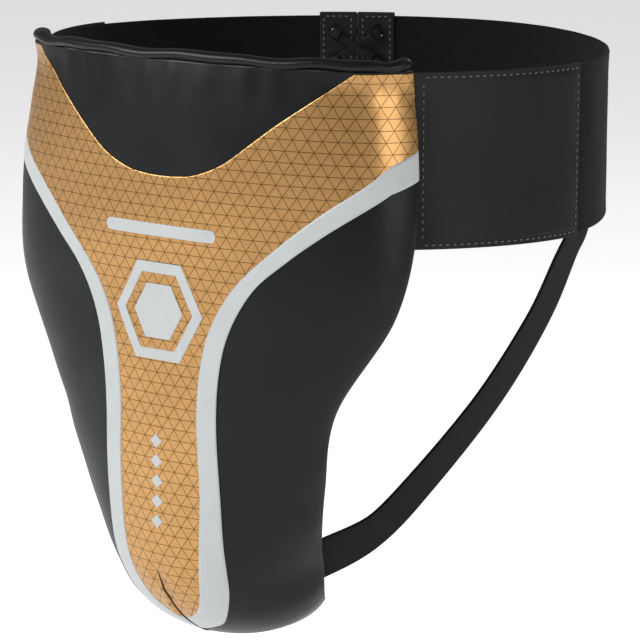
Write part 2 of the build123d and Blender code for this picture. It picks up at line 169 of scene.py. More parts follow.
def new_finish(name, colour, roughness, **more):
    """A material with its base shader, given back with its tree and shader."""
    finish = bpy.data.materials.new(name)
    finish.use_nodes = True
    tree = finish.node_tree
    shader = tree.nodes["Principled BSDF"]
    shader.inputs["Base Color"].default_value = linear(colour)
    shader.inputs["Roughness"].default_value = roughness
    for key, value in more.items():
        shader.inputs[key.replace("_", " ")].default_value = value
    return finish, tree, shader


def grain_bump(tree, shader, size_mm, depth_mm, strength=0.6):
    """Fine pebbled grain whose cells are about size_mm across. Gives back the coordinates it reads."""
    place = add_node(tree, "ShaderNodeTexCoord")
    cells = add_node(tree, "ShaderNodeTexVoronoi", {"feature": "SMOOTH_F1"},
                     [(place.outputs["Object"], "Vector")], Scale=1000 / size_mm, Smoothness=0.6)
    cloud = add_node(tree, "ShaderNodeTexNoise", {}, [(place.outputs["Object"], "Vector")],
                     Scale=1000 / size_mm * 0.35, Detail=3.0)
    both = add_node(tree, "ShaderNodeMath", {"operation": "ADD"},
                    [(cells.outputs["Distance"], 0), (cloud.outputs["Fac"], 1)])
    bump = add_node(tree, "ShaderNodeBump", {}, [(both.outputs[0], "Height")],
                    Strength=strength, Distance=depth_mm * MM)
    tree.links.new(bump.outputs["Normal"], shader.inputs["Normal"])
    return place


# %% [markdown]
# Leatherette is polyurethane film on a knit backing, embossed with a fine pebble grain about 0.9 mm
# across. It is nearly black, and the light shows it by a broad soft sheen rather than by sharp
# reflections. The grain could be real geometry, but at this size a bump from cell noise looks the same.
# A slow cloud in the roughness gives the uneven sheen of a hand-stretched cover. The folded binding has a
# finer grain, and the hip patch is smooth and a little duller.

# %% Leatherette
def make_leatherette(name, colour, roughness, size_mm=0.9, depth_mm=0.05):
    finish, tree, shader = new_finish(name, colour, roughness, Specular_IOR_Level=0.24)
    place = grain_bump(tree, shader, size_mm, depth_mm)
    patches = add_node(tree, "ShaderNodeTexNoise", {}, [(place.outputs["Object"], "Vector")], Scale=28,
                       Detail=4)
    shade = add_node(tree, "ShaderNodeMapRange", {}, [(patches.outputs["Fac"], "Value")],
                     _1=0.3, _2=0.7, _3=roughness - 0.05, _4=roughness + 0.07)
    tree.links.new(shade.outputs[0], shader.inputs["Roughness"])
    return finish


LEATHERETTE = make_leatherette("black_pu_leatherette_embossed", "#08090B", 0.42)
BINDING = make_leatherette("black_pu_binding_folded", "#08090A", 0.38, 0.7)
PATCH = make_leatherette("black_pu_patch_smooth", "#121213", 0.58, 0.6, 0.03)

# %% [markdown]
# The gold panel is a satin metallic film heat-bonded to the leatherette, printed with thin olive-brown
# lines in a net of triangles 7.3 mm wide and 5.3 mm high. Three sets of parallel lines make the net: level,
# rising and falling. The pattern reads the panel's own UV map, whose unit is one millimetre along the
# surface, so that the net follows the curve of the guard as print does. The printed lines are 0.3 mm wide.
# The white stripes and marks are plain polyurethane film: no metal in it, so it looks the same from every
# side, with a soft gloss and a faint cloudiness.

# %% Gold film with a triangle net, and white film
TRIANGLE_WIDE, TRIANGLE_HIGH, NET_LINE = 7.3, 5.3, 0.29


def stripe_lines(tree, place, turn_x, turn_y, pitch):
    """1 on thin parallel lines `pitch` apart, square to the direction (turn_x, turn_y)."""
    along = add_node(tree, "ShaderNodeVectorMath", {"operation": "DOT_PRODUCT"}, [(place, 0)],
                     _1=(turn_x, turn_y, 0))
    wrap = add_node(tree, "ShaderNodeMath", {"operation": "PINGPONG"}, [(along.outputs["Value"], 0)],
                    _1=pitch / 2)
    return add_node(tree, "ShaderNodeMapRange", {"interpolation_type": "SMOOTHSTEP"},
                    [(wrap.outputs[0], "Value")],
                    _1=NET_LINE * 0.35, _2=NET_LINE * 0.95, _3=1.0, _4=0.0).outputs[0]


def make_gold():
    finish, tree, shader = new_finish("gold_metallic_film_bonded", "#C58F52", 0.36, Metallic=0.72)
    uv = add_node(tree, "ShaderNodeUVMap", {"uv_map": "cloth_mm"}).outputs["UV"]
    slope = Vector((TRIANGLE_HIGH, TRIANGLE_WIDE / 2)).normalized()
    pitch = TRIANGLE_WIDE * slope.x
    level = stripe_lines(tree, uv, 0, 1, TRIANGLE_HIGH)
    rising = stripe_lines(tree, uv, slope.x, slope.y, pitch)
    falling = stripe_lines(tree, uv, slope.x, -slope.y, pitch)
    both = add_node(tree, "ShaderNodeMath", {"operation": "MAXIMUM"}, [(rising, 0), (falling, 1)])
    net = add_node(tree, "ShaderNodeMath", {"operation": "MAXIMUM"}, [(both.outputs[0], 0), (level, 1)])
    place = add_node(tree, "ShaderNodeTexCoord")
    cloud = add_node(tree, "ShaderNodeTexNoise", {}, [(place.outputs["Object"], "Vector")], Scale=260,
                     Detail=5)
    tone = add_node(tree, "ShaderNodeMix", {"data_type": "RGBA"}, [(cloud.outputs["Fac"], "Factor")])
    tone.inputs[6].default_value, tone.inputs[7].default_value = linear("#B1834D"), linear("#C99C64")
    ink = add_node(tree, "ShaderNodeMix", {"data_type": "RGBA"}, [(net.outputs[0], "Factor")])
    tree.links.new(tone.outputs[2], ink.inputs[6])
    ink.inputs[7].default_value = linear("#6A4E24")
    tree.links.new(ink.outputs[2], shader.inputs["Base Color"])
    grain_bump(tree, shader, 0.8, 0.035, 0.5)
    return finish


def make_white():
    finish, tree, shader = new_finish("white_pu_film_bonded", "#CFD1D1", 0.45)
    place = grain_bump(tree, shader, 0.8, 0.03, 0.4)
    cloud = add_node(tree, "ShaderNodeTexNoise", {}, [(place.outputs["Object"], "Vector")], Scale=90,
                     Detail=6)
    tone = add_node(tree, "ShaderNodeMix", {"data_type": "RGBA"}, [(cloud.outputs["Fac"], "Factor")])
    tone.inputs[6].default_value, tone.inputs[7].default_value = linear("#ABAEAE"), linear("#BABDBD")
    tree.links.new(tone.outputs[2], shader.inputs["Base Color"])
    return finish


GOLD = make_gold()
WHITE = make_white()

# %% [markdown]
# Elastic webbing is woven: rubber cores run along it under polyester, and show as fine ribs 1.25 mm
# apart. The weft crosses them every 1.6 mm. Two sine waves on the webbing's own UV map, in millimetres,
# raise the ribs. The same waves darken the colour in the hollows as painted shade and lighten it on the rib
# tops as painted highlight. The leg straps, the braided lace and the lining are the same idea with finer
# threads. Woven polyester is matt, with a faint sheen from its loose fibres.

# %% Woven elastic, lace and lining
def make_webbing(name, colour, rib_mm, weft_mm, depth_mm, roughness=0.85):
    finish, tree, shader = new_finish(name, colour, roughness, Specular_IOR_Level=0.12, Sheen_Weight=0.03)
    shader.inputs["Sheen Roughness"].default_value = 0.5
    uv = add_node(tree, "ShaderNodeUVMap", {"uv_map": "cloth_mm"}).outputs["UV"]
    parts = add_node(tree, "ShaderNodeSeparateXYZ", {}, [(uv, 0)])
    waves = []
    for axis, pitch in (("Y", rib_mm), ("X", weft_mm)):
        turn = add_node(tree, "ShaderNodeMath", {"operation": "MULTIPLY"}, [(parts.outputs[axis], 0)],
                        _1=tau / pitch)
        waves.append(add_node(tree, "ShaderNodeMath", {"operation": "SINE"},
                              [(turn.outputs[0], 0)]).outputs[0])
    knit = add_node(tree, "ShaderNodeMath", {"operation": "MULTIPLY_ADD"}, [(waves[1], 0), (waves[0], 2)],
                    _1=0.45)
    lift = add_node(tree, "ShaderNodeMapRange", {}, [(knit.outputs[0], "Value")], _1=-1.4, _2=1.4, _3=0.0,
                    _4=1.0)
    # Painted shade and highlight: the base colour runs from 0.45 of itself in the hollows to 1.5 of itself on
    # the rib tops.
    tone = add_node(tree, "ShaderNodeMix", {"data_type": "RGBA"}, [(lift.outputs[0], "Factor")])
    base = linear(colour)
    tone.inputs[6].default_value = tuple(c * 0.45 for c in base[:3]) + (1,)
    tone.inputs[7].default_value = tuple(c * 1.5 for c in base[:3]) + (1,)
    tree.links.new(tone.outputs[2], shader.inputs["Base Color"])
    bump = add_node(tree, "ShaderNodeBump", {}, [(lift.outputs[0], "Height")], Strength=0.9,
                    Distance=depth_mm * MM)
    tree.links.new(bump.outputs["Normal"], shader.inputs["Normal"])
    return finish


ELASTIC = make_webbing("black_woven_elastic_ribbed", "#0C0C0D", 1.25, 1.6, 0.25)
STRAP = make_webbing("black_woven_elastic_narrow", "#0E0E0D", 0.9, 1.2, 0.15)
LACE = make_webbing("black_polyester_lace_braided", "#17181A", 0.8, 1.1, 0.2, 0.7)
LINING = make_webbing("black_polyester_lining_woven", "#18191B", 1.1, 1.1, 0.12, 0.8)

# %% [markdown]
# The other materials are plain ones: twisted polyester thread, black enamel on the pressed brass eyelets,
# cut polyurethane foam with open cells, skived EVA foam, a moulded polypropylene cup, extruded rubber and
# crimped acetate lace tips. Each has its own gloss and a grain at its own scale. Most are inside the
# guard and never show, but a library part is also looked at cut open.

# %% Plain materials
def make_plain(name, colour, roughness, size_mm, **more):
    finish, tree, shader = new_finish(name, colour, roughness, **more)
    grain_bump(tree, shader, size_mm, 0.03, 0.4)
    return finish


THREAD = make_plain("grey_polyester_thread_twisted", "#55575A", 0.6, 0.3)
ENAMEL = make_plain("black_enamel_on_brass_pressed", "#0E0E10", 0.3, 1.5)
FOAM = make_plain("grey_polyurethane_foam_cut", "#8E8E88", 0.95, 0.7)
DENSE = make_plain("black_eva_foam_skived", "#2A2A2C", 0.85, 0.9)
CUP = make_plain("natural_polypropylene_moulded", "#C9C8C2", 0.4, 2.0)
RUBBER = make_plain("black_rubber_extruded", "#161616", 0.7, 1.0)
TIP = make_plain("black_acetate_tip_crimped", "#101012", 0.25, 0.8, Coat_Weight=0.3)

# %% [markdown]
# These CAD nodes already have the right shape. They stay, and only get their material.

# %% Materials for the CAD nodes that stay
KEEPS = {"soft_foam": FOAM, "abdomen_foam": FOAM, "cup_liner_foam": FOAM, "dense_foam": DENSE,
         "hard_cup": CUP, "cup_edge_bumper": RUBBER, "eyelets_left": ENAMEL, "eyelets_right": ENAMEL,
         "lace_tips": TIP}
for name, finish in KEEPS.items():
    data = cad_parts[name].data
    data.materials.clear()
    data.materials.append(finish)
print(len(KEEPS), "CAD nodes keep their shape")

# %% [markdown]
# The guard is described by cross sections down its centre line. Each section gives how far the middle
# stands forward of the waist, how far it is below the band's top, the half width, how far the side edges
# lie behind the middle, the thickness, and the width of the rim. A smooth curve runs through the rows, so
# any place on the guard has a point, and the cover, the film and the lining all bend over the same form.
# The ripple then adds what hands leave in a stretched cover: slow shallow hollows, small puckers under the
# top binding, soft folds along the sides, a hollow at each hip, and the dart that is folded in at the
# bottom. It never goes deeper than the cover's own thickness, so that no foam shows through.

# %% The guard's form
SECTIONS = [
    (-1.5, -2, 116, 38, 6, 5), (0, 8, 115, 41, 12, 8), (2, 30, 119, 41, 17, 10), (4.5, 71, 122.5, 39, 19, 11),
    (5.5, 112, 115.5, 33, 18, 11), (7.5, 158, 88, 27, 17, 11), (8, 198, 76, 34, 21, 11),
    (8, 231, 66, 44, 24, 11), (3.5, 252, 61, 48, 24, 11), (-8.5, 271, 58.5, 42, 22, 11),
    (-25.5, 283, 53, 35, 17, 10), (-43.5, 287, 45, 29, 12, 9)]
LAST = len(SECTIONS) - 1
WAIST_FRONT, BAND_TOP, BAND_LOW = -133.5, 40.0, -40.0
FILM_LIFT, STRIPE_LIFT, FILM_THICK = 0.34, 0.46, 0.25
JOIN_GAP = 0.00004  # metres: vertices nearer than this become one


def smooth_row(rows, k):
    """The row at place k, on a Catmull-Rom curve through all the rows."""
    i = min(max(int(k), 0), len(rows) - 2)
    t = k - i
    near = [rows[min(max(i + j, 0), len(rows) - 1)] for j in (-1, 0, 1, 2)]
    return [q + 0.5 * t * (r - p + t * (2 * p - 5 * q + 4 * r - s + t * (3 * (q - r) + s - p)))
            for p, q, r, s in zip(*near)]


def lean(k):
    a, b = smooth_row(SECTIONS, max(k - 0.5, 0)), smooth_row(SECTIONS, min(k + 0.5, LAST))
    return max(0.0, 0.5 * atan2(a[0] - b[0], b[1] - a[1]))


def place(k, x, depth, below=0.0):
    """A point in the section at k, in metres: x sideways, depth behind the middle, below its plane."""
    forward, down = smooth_row(SECTIONS, k)[:2]
    tilt = lean(k)
    y = WAIST_FRONT - forward + depth * cos(tilt) + below * sin(tilt)
    return Vector((x, y, BAND_TOP - down + depth * sin(tilt) - below * cos(tilt))) * MM


def bump(value, middle, width):
    """1 at the middle, falling smoothly to 0 one width away."""
    away = min(1.0, abs(value - middle) / width)
    return (1 - away * away) ** 2


def ripple(k, a):
    """Hand-sewn unevenness of the stretched cover: shallow hollows and the dart at the bottom, in mm."""
    run = run_at(k)
    out = smooth_row(SECTIONS, k)[2] * sin(a)
    wave = 0.35 * sin(out * 0.061 + run * 0.043) * sin(run * 0.071 - out * 0.023 + 1.2)
    pucker = 0.4 * bump(run, 6, 16) * sin(out * 0.33 + 0.8 * sin(out * 0.11))
    side = 0.45 * bump(abs(a), 1.35, 0.5) * sin(run * 0.17 + 1.3 * sin(run * 0.037)) * bump(run, 215, 90)
    dart = -1.5 * bump(out, 0, 3.6) * bump(run, 277, 28) - 1.3 * bump(out, -3, 7) * bump(run, 251, 9)
    dart += 0.5 * bump(out, -4.5, 3) * bump(run, 270, 18)
    hip = -0.7 * bump(abs(a), 1.36, 0.22) * bump(run, 45, 60)
    deepest = -1.0 if run > 40 else -0.45
    return max(deepest, wave + pucker + side + dart + hip)


def front(k, a, lift=0.0):
    """A point on the cover's outside at angle a across the section, raised by lift millimetres."""
    half, edge = smooth_row(SECTIONS, k)[2:4]
    lift += ripple(k, a) * min(1.0, (pi / 2 - abs(a)) / 0.12)
    return place(k, (half + lift) * sin(a), -lift + (edge + lift) * (1 - cos(a)))


def turning_point(low, high, too_low, times=40):
    """Where too_low turns false between low and high, found by halving."""
    for _ in range(times):
        middle = (low + high) / 2
        low, high = (middle, high) if too_low(middle) else (low, middle)
    return low


RUNS = [0.0]
for step in range(LAST * 20):
    gap = place((step + 1) / 20, 0, 0) - place(step / 20, 0, 0)
    RUNS.append(RUNS[-1] + gap.length / MM)


def run_at(k):
    """Distance in mm down the centre line to place k."""
    i = min(int(k * 20), len(RUNS) - 2)
    return RUNS[i] + (RUNS[i + 1] - RUNS[i]) * (k * 20 - i)


def k_at(run):
    """The place whose distance down the centre line is run mm."""
    return turning_point(0.0, float(LAST), lambda k: run_at(k) < run, 30)


def k_below(drop):
    """The place whose middle is drop mm below the band's top."""
    return turning_point(0.0, float(LAST), lambda k: smooth_row(SECTIONS, k)[1] < drop)


print("centre line is", round(RUNS[-1]), "mm long")

# %% [markdown]
# Every sewn piece starts as a flat grid, whose two directions run from 0 to 1. A function then puts each
# vertex in its place, as a sheet is bent over a form, and a UV map keeps the cloth's own millimetres. A
# cloth simulation could settle the same shapes, but a stretched cover over firm foam keeps the foam's
# form, so bending it is quicker and exact. Solidify then gives the sheet its thickness.

# %% Bend a grid
def new_piece(name, mesh, finish):
    """Make an object from a bmesh, with its material, at the origin."""
    data = bpy.data.meshes.new(name)
    mesh.to_mesh(data)
    mesh.free()
    data.materials.append(finish)
    piece = bpy.data.objects.new(name, data)
    scene.collection.objects.link(piece)
    return piece


def bent_grid(name, across, along, put, finish, cloth=None, close=False):
    """A grid of across x along faces. put(u, v) gives each vertex's place, cloth(u, v) its millimetres."""
    mesh = bmesh.new()
    bmesh.ops.create_grid(mesh, x_segments=across, y_segments=along, size=0.5)
    shares = {vert.index: (vert.co.x + 0.5, vert.co.y + 0.5) for vert in mesh.verts}
    layer = mesh.loops.layers.uv.new("cloth_mm")
    for face in mesh.faces:
        face.smooth = True
        for loop in face.loops:
            u, v = shares[loop.vert.index]
            loop[layer].uv = cloth(u, v) if cloth else (u, v)
    for vert in mesh.verts:
        vert.co = put(*shares[vert.index])
    if close:
        bmesh.ops.remove_doubles(mesh, verts=mesh.verts, dist=0.00002)
        bmesh.ops.recalc_face_normals(mesh, faces=mesh.faces)
    return new_piece(name, mesh, finish)


def thicken(piece, thick_mm, offset=-1.0, bevel_mm=0.0):
    """Give a bent grid its thickness, and round its cut edges."""
    solid = piece.modifiers.new("thickness", "SOLIDIFY")
    solid.thickness, solid.offset = thick_mm * MM, offset
    if bevel_mm:
        rounding = piece.modifiers.new("rounding", "BEVEL")
        rounding.width, rounding.segments, rounding.limit_method = bevel_mm * MM, 3, "ANGLE"
        rounding.angle_limit = radians(50)
    return piece


def flip(piece):
    """Turn the faces round, so that they point outwards."""
    piece.data.flip_normals()
    return piece


def sewn_in(piece, body, slot, *nodes):
    """The piece rides on its body and stands for its CAD nodes. The slot is not used."""
    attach(piece, body)
    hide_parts(*nodes)
    print(piece.name, len(piece.data.polygons), "faces")


# %% [markdown]
# The cover is one skin of black leatherette, stretched over the foam and turned round the rim to the
# back. It could be two halves with a seam, but the real one has only the short dart at the bottom. So one
# grid covers it all, and a tenth of the grid's half width on each side goes round the rim.

# %% Cover
RIM_SHARE = 0.1


def cover_place(u, v):
    side = abs(u - 0.5) * 2
    way = 1 if u >= 0.5 else -1
    k = v * LAST
    half, edge, _, rim = smooth_row(SECTIONS, k)[2:]
    if side <= 1 - RIM_SHARE:
        return front(k, way * side / (1 - RIM_SHARE) * pi / 2)
    turn = (side - 1 + RIM_SHARE) / RIM_SHARE
    x = half - rim * (1 - cos(turn * pi / 2)) if turn < 1 else half - rim
    return place(k, way * x, edge + 0.9 * sin(turn * pi) * 0.6)


cover = bent_grid("guard_cover", 190, 220, cover_place, LEATHERETTE)
thicken(flip(cover), 1.0)
sewn_in(cover, "guard", "leatherette", "outer_cover")

# %% [markdown]
# The film pieces are cut flat and bonded on the cover. Each is a grid between two edge lines, given as
# the distance out from the centre line and the run down it. The grid is then bent over the cover, a
# third of a millimetre proud, so its cut edge catches a little light.

# %% Film cut between two edges
GOLD_EDGE = [(119.7, 35.5), (112, 45), (104, 53), (88, 65), (67, 82), (47, 100), (34, 118), (27, 137),
             (24, 165), (25, 212), (21.5, 248), (14, 270), (0.5, 281)]
STRIPE_EDGE = [(121.1, 49.5), (110, 60), (88, 76), (71, 89), (55, 103), (43, 122), (37, 142), (35, 170),
               (36, 220), (34, 255), (25, 278), (13, 287), (0.5, 293)]


def side_angle(out, half):
    """The angle across the section for a distance out. The last twentieth turns evenly round the side."""
    share, turn = min(1.0, abs(out / half)), asin(0.95)
    angle = asin(share) if share < 0.95 else turn + (share - 0.95) / 0.05 * (pi / 2 - turn)
    return angle if out > 0 else -angle


def on_cover(out, run, lift=FILM_LIFT):
    k = k_at(run)
    return front(k, side_angle(out, smooth_row(SECTIONS, k)[2]), lift)


def round_the_side(out, run):
    """The distance in mm over the curved cover that an edge point is from the centre line."""
    half, edge = smooth_row(SECTIONS, k_at(run))[2:4]
    last = side_angle(out, half)
    turns = [last * (i + 0.5) / 12 for i in range(12)]
    return sum(((half * cos(a)) ** 2 + (edge * sin(a)) ** 2) ** 0.5 for a in turns) * last / 12


def film(name, inner, outer, across, along, finish, way=1, lift=FILM_LIFT):
    """Film between two edge lines that have the same number of points."""
    def flat(u, v):
        a = smooth_row(inner, v * (len(inner) - 1))
        b = smooth_row(outer, v * (len(outer) - 1))
        return a[0] + (b[0] - a[0]) * u, a[1] + (b[1] - a[1]) * u

    def put(u, v):
        out, run = flat(u, v)
        return on_cover(way * out, run, lift)

    def cloth(u, v):
        out, run = flat(u, v)
        return way * round_the_side(out, run), run

    piece = bent_grid(name, across, along, put, finish, cloth)
    if way > 0:
        flip(piece)
    return thicken(piece, FILM_THICK)


# %% [markdown]
# A light grey-white stripe, about 11 mm wide, follows each edge of the gold and meets the other at the
# bottom dart. It lies a tenth of a millimetre over the gold, which reaches under it, so no gap shows.

# %% White stripes
for side, way in (("left", 1), ("right", -1)):
    stripe = film(f"stripe_{side}", GOLD_EDGE, STRIPE_EDGE, 8, 240, WHITE, way, STRIPE_LIFT)
    sewn_in(stripe, "guard", "white_film", f"white_stripe_{side}")

# %% [markdown]
# The gold panel leaves a black inset under the top binding. It could be cut by a boolean, but that leaves
# ragged faces on a curved sheet. Instead each half is two grids, one beside the inset and one down the
# stem, and all four are joined where they meet.

# %% Gold panel
INSET = [(98, 1), (90, 7), (76, 17), (62, 27), (50, 36), (36, 46), (21, 52), (9, 53.7), (0, 54)]
BESIDE = [(116, 1), (118, 18), (119.8, 36.5), (113, 46.5), (105, 54.5), (89, 66.5), (75, 78), (66, 86),
          (59, 92)]
CENTRE = [(0, 54), (0, 80), (0, 105), (0, 130), (0, 160), (0, 190), (0, 220), (0, 250), (0, 268), (0, 281.5)]
BELOW = [(59, 92), (46, 104), (35.2, 119.5), (29, 135), (25.4, 160), (25.8, 190), (25.8, 220), (22.6, 249),
         (15.3, 270.6), (0.5, 282.5)]
halves = [film(f"gold_{part}_{way}", *edges, GOLD, way) for way in (1, -1)
          for part, edges in (("top", (INSET, BESIDE, 70, 110)), ("stem", (CENTRE, BELOW, 70, 200)))]
whole = bmesh.new()
for half in halves:
    whole.from_mesh(half.data)
bmesh.ops.remove_doubles(whole, verts=whole.verts, dist=JOIN_GAP)
panel = new_piece("gold_panel", whole, GOLD)
thicken(panel, FILM_THICK)
for half in halves:
    bpy.data.objects.remove(half)
sewn_in(panel, "guard", "gold_film", "gold_film")

# %% [markdown]
# Plain white marks are heat-pressed on the gold: a rule, a six-sided badge with a solid middle, and a column
# of small diamonds. They are drawn flat and bent over the cover like the film.

# %% Marks
LONGEST_EDGE = 2.5  # mm: a flat drawing needs edges this short to bend smoothly


def flat_shape(mesh, sides, radius, out, run, inner=0.0, turn=0.0):
    """A regular outline at (out, run), solid or with a hole, drawn flat with x = out and y = run."""
    place_it = Matrix.Translation((out, run, 0)) @ Matrix.Rotation(turn, 4, "Z")
    outline = bmesh.ops.create_circle(mesh, cap_ends=not inner, segments=sides, radius=radius,
                                      matrix=place_it)
    if inner:
        hole = bmesh.ops.create_circle(mesh, segments=sides, radius=inner, matrix=place_it)
        rings = [e for v in outline["verts"] + hole["verts"] for e in v.link_edges]
        bmesh.ops.bridge_loops(mesh, edges=list(set(rings)))


def pressed(mesh, name, finish, lift):
    """Cut a flat drawing finely, and bend it over the cover."""
    bmesh.ops.triangulate(mesh, faces=mesh.faces)
    for _ in range(6):
        long_edges = [e for e in mesh.edges if e.calc_length() > LONGEST_EDGE]
        if not long_edges:
            break
        bmesh.ops.subdivide_edges(mesh, edges=long_edges, cuts=1)
        bmesh.ops.triangulate(mesh, faces=[f for f in mesh.faces if len(f.verts) > 3])
    layer = mesh.loops.layers.uv.new("cloth_mm")
    for face in mesh.faces:
        face.smooth = True
        for loop in face.loops:
            loop[layer].uv = loop.vert.co.x, loop.vert.co.y
    for vert in mesh.verts:
        vert.co = on_cover(vert.co.x, vert.co.y, lift)
    bmesh.ops.recalc_face_normals(mesh, faces=mesh.faces)
    return new_piece(name, mesh, finish)


MARK_LIFT = FILM_LIFT + 0.12
marks = bmesh.new()
bmesh.ops.create_grid(marks, x_segments=24, y_segments=2, size=0.5,
                      matrix=Matrix.Translation((0, 80, 0)) @ Matrix.Diagonal((62, 6, 1, 1)))
for end in (-31, 31):
    flat_shape(marks, 24, 3, end, 80)
flat_shape(marks, 6, 27, 0, 119, inner=21, turn=radians(30))
flat_shape(marks, 6, 15, 0, 119, turn=radians(30))
for step in range(5):
    flat_shape(marks, 4, 3.54, 0, 182 + 10 * step)
mark_piece = pressed(marks, "pressed_marks", WHITE, MARK_LIFT)
if mark_piece.data.polygons[0].normal.y > 0:
    flip(mark_piece)
sewn_in(mark_piece, "guard", "white_film", "front_marks")

# %% [markdown]
# The top edge is closed by a rolled binding: a strip of leatherette folded over the raw layers and sewn.
# It is a tube along the edge, slightly uneven because it is turned by hand, with closed, rounded ends.
# The same tube, much thinner, marks the dart at the bottom, where the cover is folded and sewn.

# %% Rolled top binding
def tube_grid(name, along, around, centre, radius, finish, oval=(1.0, 1.0), length_mm=200):
    """A closed tube: centre(v) gives its line and radius(v) its size in mm."""
    def put(u, v):
        v = min(max(v, 0.0), 1.0)
        here, ahead = centre(v), (centre(min(v + 0.004, 1)) - centre(max(v - 0.004, 0))).normalized()
        side = ahead.cross(Vector((0, 0, 1))).normalized()
        up = side.cross(ahead)
        turn = u * tau
        return here + (side * cos(turn) * oval[0] + up * sin(turn) * oval[1]) * radius(v) * MM

    return bent_grid(name, around, along, put, finish, lambda u, v: (v * length_mm, u * 18), close=True)


def dart_line(v):
    return on_cover(-3.6 * (1 - v) ** 2, 249 + 56 * v, 0.25)


def dart_size(v):
    return 0.55 * (max(0.0, 1 - (2 * v - 1) ** 8)) ** 0.5


dart = tube_grid("dart_seam", 70, 10, dart_line, dart_size, BINDING, length_mm=50)
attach(dart, "guard")


def binding_line(v):
    a = (v - 0.5) * pi * 0.985
    half, edge, thick, rim = smooth_row(SECTIONS, 0)[2:]
    wave = 0.5 * sin(a * 9) + 0.35 * sin(a * 17 + 1)
    return place(0, (half - rim / 2) * sin(a), thick / 2 + (edge - thick / 2) * (1 - cos(a)), -2.6 - wave)


def binding_radius(v):
    close_end = min(v, 1 - v) * 290
    return (2.9 + 0.15 * sin(v * 47)) * min(1.0, max(0.0, 1 - (1 - min(close_end / 2.9, 1)) ** 2) ** 0.5)


binding = tube_grid("rolled_binding", 300, 20, binding_line, binding_radius, BINDING, (1.25, 0.95), 290)
sewn_in(binding, "guard", "binding", "top_binding")

# %% [markdown]
# Behind the cover's rim a flat binding tape runs down each side, and the lining closes the hollow.

# %% Lining and side bindings
def lining_place(u, v):
    k, a = v * LAST, (u - 0.5) * pi
    half, edge, thick, rim = smooth_row(SECTIONS, k)[2:]
    sag = 0.5 * sin(run_at(k) * 0.05) * sin(half * sin(a) * 0.07) * cos(a)
    return place(k, (half - rim) * sin(a), thick + sag + (edge - thick - sag) * (1 - cos(a)))


lining = bent_grid("guard_lining", 90, 140, lining_place, LINING,
                   lambda u, v: (u * 250, v * 320))
thicken(lining, 0.9, 1)
sewn_in(lining, "guard", "lining", "back_lining")

for side, way in (("left", 1), ("right", -1)):
    def tape_place(u, v):
        half, edge, _, rim = smooth_row(SECTIONS, v * LAST)[2:]
        near, far = half - 1.2, half - rim - 1
        x = near + (far - near) * u
        return place(v * LAST, way * x, edge + 0.3 + 0.9 * sin(u * pi) ** 0.5)

    tape = bent_grid(f"side_binding_{side}", 10, 240, tape_place, BINDING, lambda u, v: (u * 10, v * 320))
    if way > 0:
        flip(tape)
    thicken(tape, 0.5, 0)
    sewn_in(tape, "guard", "binding", f"edge_binding_{side}")

# %% [markdown]
# The bottom of the guard is closed by a turned strip between the cover's and the lining's lower ends. It
# bulges down a little, as a folded edge does, so it is a small grid with a rounded swell.

# %% Bottom binding
def bottom_place(u, v):
    a = (u - 0.5) * pi
    half, edge, thick, rim = smooth_row(SECTIONS, LAST)[2:]
    depth = thick * v + (edge - thick * v) * (1 - cos(a))
    swell = 1.6 * (max(0.0, 1 - (2 * v - 1) ** 2)) ** 0.5 * (max(0.0, cos(a))) ** 0.3
    return place(LAST, (half - rim * v) * sin(a), depth, swell)


bottom = bent_grid("bottom_binding_turned", 80, 14, bottom_place, BINDING, lambda u, v: (u * 120, v * 12))
sewn_in(bottom, "guard", "binding", "bottom_binding")

# %% [markdown]
# The waistband is wide ribbed elastic. Its line round the waist is a smooth closed curve through seven
# places on each side. Positions on the band are distances round it from the middle of the front. A curve
# object could give the line, but its points are needed to place stitches, tabs and straps, so the spline
# is worked out here: the slopes are adjusted in turn until the curvature has no jump.

# %% The waist's line
WAIST_HALF = [(0, -1), (0.464, -0.89), (0.828, -0.586), (1, -0.12), (0.861, 0.358), (0.536, 0.769), (0, 1)]


def waist_samples():
    """The closed line as fine points, from a periodic spline with no jump in its curvature."""
    ring = [Vector((x * 151, y * 133.5, 0)) for x, y in WAIST_HALF]
    ring += [Vector((-p.x, p.y, 0)) for p in reversed(ring[1:-1])]
    count = len(ring)
    gaps = [(ring[(i + 1) % count] - ring[i]).length for i in range(count)]
    slopes = [(ring[(i + 1) % count] - ring[i - 1]) / (gaps[i - 1] + gaps[i]) for i in range(count)]
    for _ in range(60):
        for i in range(count):
            before, after = gaps[i - 1], gaps[i]
            pull = 3 * ((ring[i] - ring[i - 1]) / before ** 2
                        + (ring[(i + 1) % count] - ring[i]) / after ** 2)
            pull -= slopes[i - 1] / before + slopes[(i + 1) % count] / after
            slopes[i] = pull / (2 / before + 2 / after)
    points = []
    for i in range(count):
        p, q, gap = ring[i], ring[(i + 1) % count], gaps[i]
        for n in range(40):
            t = n / 40
            points.append(p * (2 * t ** 3 - 3 * t * t + 1) + slopes[i] * gap * (t ** 3 - 2 * t * t + t)
                          + q * (3 * t * t - 2 * t ** 3) + slopes[(i + 1) % count] * gap * (t ** 3 - t * t))
    return points


RING = waist_samples()
REACH = [0.0]
for p, q in zip(RING, RING[1:] + RING[:1]):
    REACH.append(REACH[-1] + (q - p).length)
ROUND = REACH[-1]


def on_waist(along, out=0.0, z=0.0):
    """A point on the band in metres: along round it, out from its outside, z up."""
    along %= ROUND
    i = min(bisect_right(REACH, along) - 1, len(RING) - 1)
    here, after = RING[i], RING[(i + 1) % len(RING)]
    share = (along - REACH[i]) / (REACH[i + 1] - REACH[i])
    before, later = RING[i - 1], RING[(i + 2) % len(RING)]
    way = ((after - before) * (1 - share) + (later - here) * share).normalized()
    spot = here + (after - here) * share
    return Vector((spot.x + out * way.y, spot.y - out * way.x, z)) * MM


LACING = ROUND / 2 + 78
print("band is", round(ROUND), "mm round")

